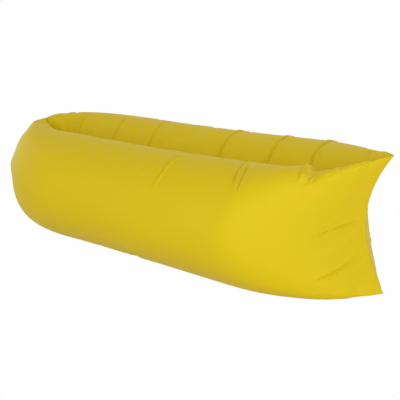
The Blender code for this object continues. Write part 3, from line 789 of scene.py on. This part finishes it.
def makeStitches(name, stitches, length, thickness, thread):  # each stitch has its place, run and up
    stitches = np.asarray(stitches, dtype=float)
    mesh = bpy.data.meshes.new(name + "Points")
    mesh.vertices.add(len(stitches))
    mesh.vertices.foreach_set("co", stitches[:, 0].reshape(-1))
    for column, word in enumerate(("run", "up"), 1):
        layer = mesh.attributes.new(word, "FLOAT_VECTOR", "POINT")
        layer.data.foreach_set("vector", stitches[:, column].reshape(-1))
    carrier = placed(name + "Points", mesh)
    rows = carrier.modifiers.new("rows", "NODES")
    rows.node_group = stitchNodes
    given = {"Length": length, "Thickness": thickness, "Thread": thread}
    for item in stitchNodes.interface.items_tree:
        if item.in_out == "INPUT" and item.name in given:
            rows[item.identifier] = given[item.name]
    bpy.context.view_layer.update()
    shown = carrier.evaluated_get(bpy.context.evaluated_depsgraph_get())
    result = bpy.data.meshes.new_from_object(shown)
    result.name = name
    bpy.data.objects.remove(carrier, do_unlink=True)
    result.polygons.foreach_set("use_smooth", np.ones(len(result.polygons), bool))
    return placed(name, result)


stitching = {
    "pitch": 0.0034, "length": 0.0029, "thread": 0.0007, "seamTurn": 86, "seamSteps": 1200,
    "fromEdge": 0.0045, "beside": 0.0085, "endRoom": 0.004, "lift": 0.0001,
    "row": (-0.0098, 0.0099), "tabPitch": 0.0022, "tabLength": 0.0019, "tabThread": 0.0005, "tabLift": 0.00005,
    "boxPlug": 0.012, "boxRoll": 0.009, "boxSide": 0.0100,
}
bartack = {"start": 0.0015, "length": 0.004, "lift": 0.0002, "pitch": 0.0005, "lean": 0.10, "thread": 0.00062}


def seamStitches(name, side, thread):  # topstitching beside the sewn end's edge, on the outer face
    line = seamLine(stitching["fromEdge"], side, stitching)
    further = seamLine(stitching["beside"], side, stitching)
    run = runningTotal(np.linalg.norm(np.diff(line, axis=0), axis=1))
    marks = np.arange(stitching["endRoom"], run[-1] - stitching["endRoom"], stitching["pitch"])
    place, ahead, inward = (
        np.stack([np.interp(marks, run, values[:, axis]) for axis in range(3)], axis=-1)
        for values in (line, np.gradient(line, axis=0), further - line))
    up = np.cross(ahead, inward)
    up /= np.linalg.norm(up, axis=1, keepdims=True)
    up *= np.where(up[:, 1:2] * side < 0, -1.0, 1.0)
    stitches = np.stack([place + up * stitching["lift"], ahead, up], axis=1)
    return makeStitches(name, stitches, stitching["length"], stitching["thread"], thread)


def tabStitches(name, rows, columns, thread):  # rows across the webbing and columns along it, on both faces
    stitches = []
    outside = tab["thickness"] + tab["laidApart"] / 2
    for facing in (-1, 1):
        x = loop["backLegX"] + facing * (outside + stitching["tabLift"])
        stitches += [((x, y, z), (0, 1, 0), (facing, 0, 0))
                     for z in rows for y in np.arange(*stitching["row"], stitching["tabPitch"])]
        stitches += [((x, y, z), (0, 0, 1), (facing, 0, 0))
                     for y, low, high in columns for z in np.arange(low, high, stitching["tabPitch"])]
    return makeStitches(name, stitches, stitching["tabLength"], stitching["tabThread"], thread)


def makeBartack(name, edgeZ, up, thread):  # dense zigzag over the tab's outer face
    low = edgeZ + up * bartack["start"]
    high = low + up * bartack["length"]
    x = loop["backLegX"] - tab["thickness"] - tab["laidApart"] / 2 - bartack["lift"]
    stitches = [((x, y, (low + high) / 2), (0, bartack["lean"] if count % 2 else -bartack["lean"], 1), (-1, 0, 0))
                for count, y in enumerate(np.arange(*stitching["row"], bartack["pitch"]))]
    return makeStitches(name, stitches, abs(high - low), bartack["thread"], thread)


# Materials: the helpers add nodes to a tree, and take plain values or other nodes' outputs
def feed(tree, node, inputs):
    for name, value in inputs.items():
        if isinstance(value, bpy.types.NodeSocket):
            tree.links.new(value, node.inputs[name])
        else:
            node.inputs[name].default_value = value


def newNode(tree, kind, inputs=()):
    node = tree.nodes.new("ShaderNode" + kind)
    feed(tree, node, dict(inputs))
    return node


def newMaterial(name):
    material = bpy.data.materials.new(name)
    material.use_nodes = True
    return material, material.node_tree, material.node_tree.nodes["Principled BSDF"]


def placeNode(tree):
    return newNode(tree, "TexCoord").outputs["Object"]


def mathNode(tree, operation, *values):
    node = newNode(tree, "Math", enumerate(values))
    node.operation = operation
    return node.outputs[0]


def scaled(tree, value, scale, added):
    return mathNode(tree, "ADD", mathNode(tree, "MULTIPLY", value, scale), added)


def noiseNode(tree, place, scale, detail, roughness=0.5):
    inputs = {"Vector": place, "Scale": scale, "Detail": detail, "Roughness": roughness}
    return newNode(tree, "TexNoise", inputs).outputs["Fac"]


def bumpNode(tree, height, strength, distance, under=None):
    bump = newNode(tree, "Bump", {"Height": height, "Strength": strength, "Distance": distance})
    if under is not None:
        feed(tree, bump, {"Normal": under})
    return bump.outputs["Normal"]


def colourBlend(tree, factor, low, high):
    blend = newNode(tree, "Mix")
    blend.data_type = "RGBA"
    blend.clamp_factor = True
    feed(tree, blend, {"A": (*low, 1), "B": (*high, 1), "Factor": factor})
    return blend.outputs["Result"]


def weaveHeight(tree, pitch, skew):  # over and under of two threads, from the cloth's UVs
    uv = newNode(tree, "UVMap")
    uv.uv_map = "cloth"
    parts = newNode(tree, "SeparateXYZ", {0: uv.outputs["UV"]}).outputs
    turn = 2 * math.pi / pitch
    warp, weft = (mathNode(tree, "SINE", mathNode(tree, "MULTIPLY", parts[axis], pace))
                  for axis, pace in (("X", turn), ("Y", turn * skew)))
    return mathNode(tree, "MULTIPLY", warp, weft)


# What all woven looks share: noise detail and roughness, depths of the bumps, and how far the
# shade and the roughness vary
wovenLook = {"patch": 3.0, "crinkle": (4.0, 0.55), "crinkleDepth": 0.006, "weaveDepth": 0.12,
             "shade": 0.10, "varies": 0.10, "sheenRoughness": 0.4}


def clothMaterial(name, look):
    material, tree, shader = newMaterial(name)
    place = placeNode(tree)
    cell = weaveHeight(tree, look["pitch"], look["skew"])
    patches = noiseNode(tree, place, look["patchScale"], wovenLook["patch"])
    crinkle = noiseNode(tree, place, look["crinkleScale"], *wovenLook["crinkle"])
    soft = bumpNode(tree, crinkle, look["crinkle"], wovenLook["crinkleDepth"])
    shade = scaled(tree, cell, wovenLook["shade"], patches)
    varies = wovenLook["varies"]
    feed(tree, shader, {
        "Base Color": colourBlend(tree, shade, look["deeper"], look["colour"]),
        "Normal": bumpNode(tree, cell, look["weave"], look["pitch"] * wovenLook["weaveDepth"], soft),
        "Roughness": scaled(tree, patches, varies, look["roughness"] - varies / 2),
        "Specular IOR Level": look["specular"], "Sheen Weight": look["sheen"],
        "Sheen Roughness": wovenLook["sheenRoughness"],
    })
    return material


# Noise scale, detail and roughness, strength and depth of the bump, spread and start of the gloss
filmLook = {"haze": (14.0, 3.0), "crease": (45.0, 5.0, 0.6), "bump": (0.25, 0.002), "roughness": (0.15, 0.16),
            "low": (0.74, 0.77, 0.79), "high": (0.84, 0.86, 0.87)}


def filmMaterial(name):
    material, tree, shader = newMaterial(name)
    place = placeNode(tree)
    haze = noiseNode(tree, place, *filmLook["haze"])
    crease = noiseNode(tree, place, *filmLook["crease"])
    feed(tree, shader, {
        "Base Color": colourBlend(tree, haze, filmLook["low"], filmLook["high"]),
        "Normal": bumpNode(tree, crease, *filmLook["bump"]),
        "Roughness": scaled(tree, haze, *filmLook["roughness"]),
    })
    return material


# Wear at the edges is measured from the pointiness of a flat face
mouldedLook = {"fineDetail": 2.0, "broad": (60.0, 3.0), "flat": 0.5, "wear": 3.0, "broadShare": 0.6,
               "grainDepth": 0.0002, "varies": 0.14}


def plasticMaterial(name, colour, paler, grainScale, grain, roughness):
    material, tree, shader = newMaterial(name)
    place = placeNode(tree)
    fine = noiseNode(tree, place, grainScale, mouldedLook["fineDetail"])
    broad = noiseNode(tree, place, *mouldedLook["broad"])
    edge = newNode(tree, "NewGeometry").outputs["Pointiness"]
    worn = mathNode(tree, "MULTIPLY", mathNode(tree, "SUBTRACT", edge, mouldedLook["flat"]), mouldedLook["wear"])
    varies = mouldedLook["varies"]
    feed(tree, shader, {
        "Base Color": colourBlend(tree, scaled(tree, broad, mouldedLook["broadShare"], worn), colour, paler),
        "Normal": bumpNode(tree, fine, grain, mouldedLook["grainDepth"]),
        "Roughness": scaled(tree, broad, varies, roughness - varies / 2),
    })
    return material


threadLook = {"scale": 900.0, "distortion": 2.0, "deeper": 0.6, "bump": (0.5, 0.0002), "roughness": 0.65}


def threadMaterial(name, colour):
    material, tree, shader = newMaterial(name)
    inputs = {"Vector": placeNode(tree), "Scale": threadLook["scale"], "Distortion": threadLook["distortion"]}
    ply = newNode(tree, "TexWave", inputs).outputs["Fac"]
    deeper = tuple(threadLook["deeper"] * part for part in colour)
    feed(tree, shader, {
        "Base Color": colourBlend(tree, ply, deeper, colour),
        "Normal": bumpNode(tree, ply, *threadLook["bump"]),
        "Roughness": threadLook["roughness"],
    })
    return material


yellowLook = {
    "colour": (0.700, 0.515, 0.0015), "deeper": (0.655, 0.475, 0.0010), "pitch": 0.0007, "skew": 1.0,
    "patchScale": 2.2, "crinkleScale": 24.0, "crinkle": 0.10, "weave": 0.25,
    "roughness": 0.57, "specular": 0.19, "sheen": 0.0,
}
rolledLook = {**yellowLook, "crinkle": 0.35, "crinkleScale": 60.0}
tapeLook = {
    **yellowLook, "colour": (0.60, 0.42, 0.02), "deeper": (0.52, 0.36, 0.015), "pitch": 0.0012, "weave": 0.6,
    "roughness": 0.7, "specular": 0.2,
}
webbingLook = {
    "colour": (0.034, 0.034, 0.037), "deeper": (0.014, 0.014, 0.015), "pitch": 0.0021, "skew": 0.5,
    "patchScale": 30.0, "crinkleScale": 300.0, "crinkle": 0.25, "weave": 1.0,
    "roughness": 0.78, "specular": 0.25, "sheen": 0.25,
}
yellowCloth = clothMaterial("yellowCloth", yellowLook)
rolledCloth = clothMaterial("rolledCloth", rolledLook)
tapeWeave = clothMaterial("tapeWeave", tapeLook)
webbingWeave = clothMaterial("webbingWeave", webbingLook)
liningFilm = filmMaterial("liningFilm")
bucklePlastic = plasticMaterial("bucklePlastic", (0.014, 0.014, 0.015), (0.034, 0.034, 0.037),
                                grainScale=1800.0, grain=0.35, roughness=0.44)
stripPlastic = plasticMaterial("stripPlastic", (0.70, 0.70, 0.68), (0.80, 0.80, 0.78),
                               grainScale=500.0, grain=0.15, roughness=0.38)
yellowThread = threadMaterial("yellowThread", (0.72, 0.53, 0.03))
blackThread = threadMaterial("blackThread", (0.045, 0.045, 0.048))
stitchNodes = stitchGroup()
print("materials made")


def settle(piece, body, nodes, material=None):  # body, replaced nodes, slot and material of a piece
    if material is not None:
        piece.data.materials.clear()
        piece.data.materials.append(material)
    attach(piece, body)
    if nodes:
        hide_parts(*nodes)
    return piece


for word, side in (("near", -1), ("far", 1)):
    shell = makeTube(word + "Tube", side, word)
    settle(shell, "bag", [word + "_tube_shell"], yellowCloth)
    bag = makeLiner(word + "Liner", side)
    settle(bag, "bag", [word + "_air_liner"], liningFilm)
    settle(seamStitches(word + "SeamStitches", side, yellowThread), "bag", [])
print("tubes and liners made")

settle(makeJoinTape(), "bag", ["centre_join_tape"], tapeWeave)
settle(makeSeamTape(), "bag", ["closed_end_seam_tape"], tapeWeave)
settle(makeRoll(), "closure_loop", ["mouth_roll"], rolledCloth)
print("tapes and rolled mouth made")

# Each tab's end in the roll, the bar it runs round, and which way it points
tabEnds = {
    "socket": (loop["armLow"] + tab["rollOverlap"], socketLow.z + tab["barInset"], 1),
    "plug": (loop["armTop"] - tab["rollOverlap"], plugHigh.z - tab["barInset"], -1),
}
tabs = {word: settle(makeTab(word + "Tab", *ends), "closure_loop", [word + "_webbing_tab"], webbingWeave)
        for word, ends in tabEnds.items()}
for word, (edgeZ, barZ, up) in tabEnds.items():
    bartackPiece = makeBartack(word + "Bartack", edgeZ, up, blackThread)
    settle(bartackPiece, "closure_loop", [word + "_tab_bartack"])
boxLow, boxHigh = plugHigh.z + stitching["boxPlug"], loop["armTop"] - stitching["boxRoll"]
boxSides = [(side * stitching["boxSide"], boxLow, boxHigh) for side in (-1, 1)]
plugBox = tabStitches("plugTabStitches", [boxLow, boxHigh], boxSides, blackThread)
settle(plugBox, "closure_loop", [])
for piece in (tabs["plug"], plugBox):
    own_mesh(piece)
for node in ("buckle_socket", "buckle_plug", "buckle_prong_near", "buckle_prong_far"):
    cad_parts[node].material_slots[0].material = bucklePlastic
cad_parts["mouth_stiffener"].material_slots[0].material = stripPlastic
print("tabs, stitching and buckle made")

# Camera at the photograph's place
photo = {
    "azimuth": 36.596, "elevation": 18.884, "distance": 3.423, "target": (0.115, 0.0, 0.189),
    "focalPixels": 837.9, "framePixels": 400, "sensor": 36.0, "reach": 60.0,
}
lamps = {
    "key": {"place": (2.4, -3.0, 1.5), "size": 4.0, "power": 70},
    "right": {"place": (4.0, -0.7, 0.55), "size": 2.0, "power": 24},
    "left": {"place": (-1.8, -4.0, 1.6), "size": 3.5, "power": 34},
    "top": {"place": (0.4, -0.4, 4.5), "size": 4.0, "power": 16},
    "back": {"place": (0.8, 3.4, 3.7), "size": 3.2, "power": 42},
    "rear": {"place": (-4.0, 0.2, 0.9), "size": 2.2, "power": 20},
}
studio = {"aim": (0, 0, 0.2), "world": 0.50, "white": (1, 1, 1, 1), "floorHalf": 30, "floorShare": 0.985}
floorLook = {"Base Color": (0.82, 0.82, 0.82, 1), "Roughness": 0.9, "Specular IOR Level": 0.1}


def aimed(name, data, place, back):  # a camera or lamp, with its back along a direction
    item = placed(name, data)
    item.location = place
    item.rotation_euler = back.to_track_quat("Z", "Y").to_euler()
    return item


def makeCamera():
    azimuth = math.radians(photo["azimuth"])
    elevation = math.radians(photo["elevation"])
    back = Vector((math.sin(azimuth) * math.cos(elevation), -math.cos(azimuth) * math.cos(elevation),
                   math.sin(elevation)))
    data = bpy.data.cameras.new("photoCamera")
    data.sensor_width = photo["sensor"]
    data.lens = photo["focalPixels"] / photo["framePixels"] * data.sensor_width
    data.clip_end = photo["reach"]
    scene.camera = aimed("photoCamera", data, Vector(photo["target"]) + back * photo["distance"], back)


def makeLamp(name, place, size, power):
    data = bpy.data.lights.new(name, "AREA")
    data.shape = "DISK"
    data.size = size
    data.energy = power
    aimed(name, data, place, Vector(place) - Vector(studio["aim"]))


def paleToCamera(tree, lit, shown, share, output):  # another shader for what only sees the backdrop
    rays = newNode(tree, "LightPath").outputs
    seen = mathNode(tree, "MAXIMUM", rays["Is Camera Ray"], rays["Is Glossy Ray"])
    seen = mathNode(tree, "MAXIMUM", seen, rays["Is Transmission Ray"])
    blend = newNode(tree, "MixShader", {0: mathNode(tree, "MULTIPLY", seen, share), 1: lit, 2: shown})
    tree.links.new(blend.outputs[0], output)


def makeWorld():
    world = bpy.data.worlds.new("paleRoom")
    scene.world = world
    world.use_nodes = True
    tree = world.node_tree
    tree.nodes.clear()
    lit = newNode(tree, "Background", {"Strength": studio["world"]}).outputs[0]
    shown = newNode(tree, "Background", {"Color": studio["white"]}).outputs[0]
    paleToCamera(tree, lit, shown, 1.0, newNode(tree, "OutputWorld").inputs[0])


def makeFloor():
    grid = bmesh.new()
    bmesh.ops.create_grid(grid, x_segments=1, y_segments=1, size=studio["floorHalf"])
    mesh = bpy.data.meshes.new("paleFloor")
    grid.to_mesh(mesh)
    grid.free()
    floor = placed("paleFloor", mesh)
    material, tree, shader = newMaterial("paleFloor")
    feed(tree, shader, floorLook)
    glow = newNode(tree, "Emission", {"Strength": 1.0}).outputs[0]
    surface = tree.nodes["Material Output"].inputs["Surface"]
    paleToCamera(tree, shader.outputs[0], glow, studio["floorShare"], surface)
    mesh.materials.append(material)


makeCamera()
for name, lamp in lamps.items():
    makeLamp(name, **lamp)
makeWorld()
makeFloor()
scene.view_settings.view_transform = "Standard"
print("camera and studio made")

bpy.context.view_layer.update()
